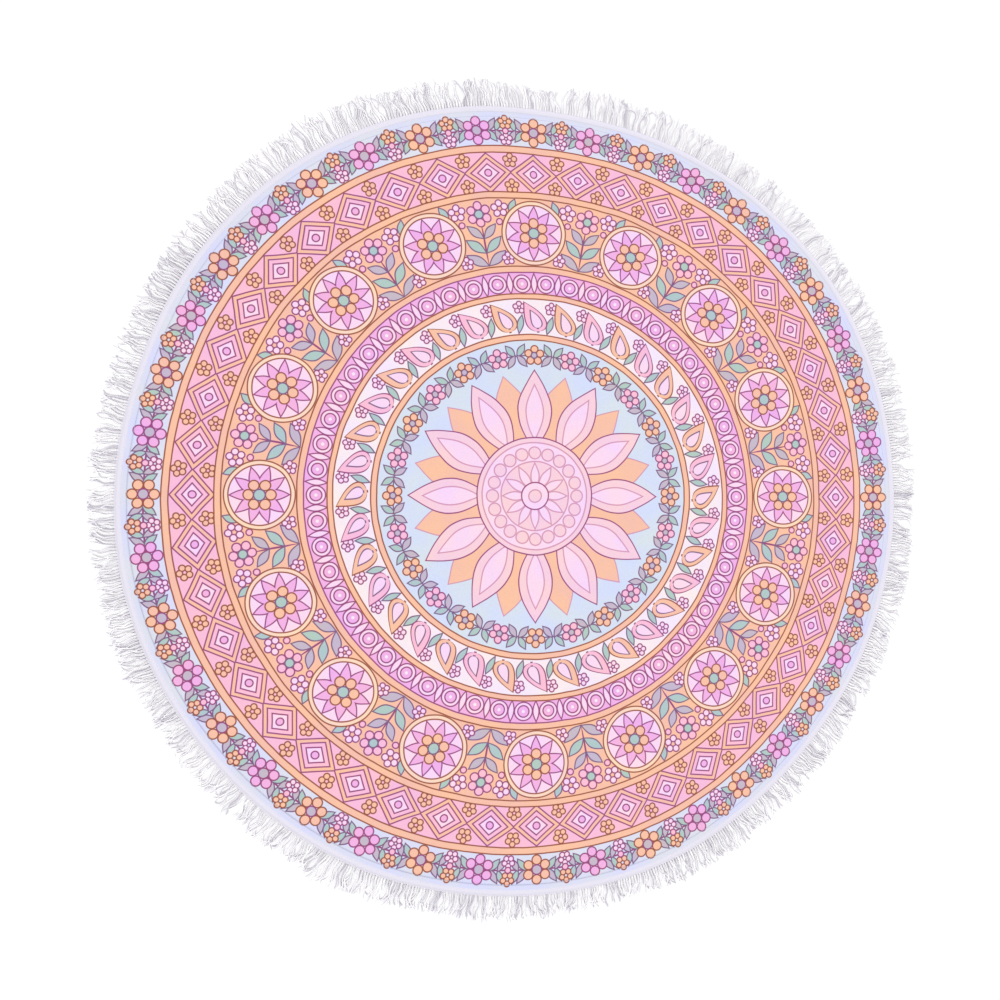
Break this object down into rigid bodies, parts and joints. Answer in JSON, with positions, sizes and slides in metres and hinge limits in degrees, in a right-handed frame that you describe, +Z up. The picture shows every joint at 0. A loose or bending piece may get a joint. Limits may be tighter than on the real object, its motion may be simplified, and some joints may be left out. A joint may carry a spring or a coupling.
{
  "type": "round beach towel",
  "caption": "Round cotton beach towel lying flat, a printed panel with a narrow hem and a yarn fringe sewn on all the way round.",
  "frame": {"origin": "middle of the outline, fringe included, on the plane that the towel lies on", "axes": "+Z is up, out of the printed face; the towel is round, so +X and +Y only fix which way its uneven edge lies: it is drawn in most between +X and -Y"},
  "size_m": [1.6184, 1.6004, 0.004],
  "materials": {
    "printed_cotton": "short cotton pile with a printed round pattern in pale blue, peach, pink and lilac",
    "white_cotton_yarn": "soft twisted white cotton yarn on a woven tape"
  },
  "bodies": {
    "root": {"towel_cloth": "printed_cotton", "fringe": "white_cotton_yarn"}
  },
  "joints": []
}
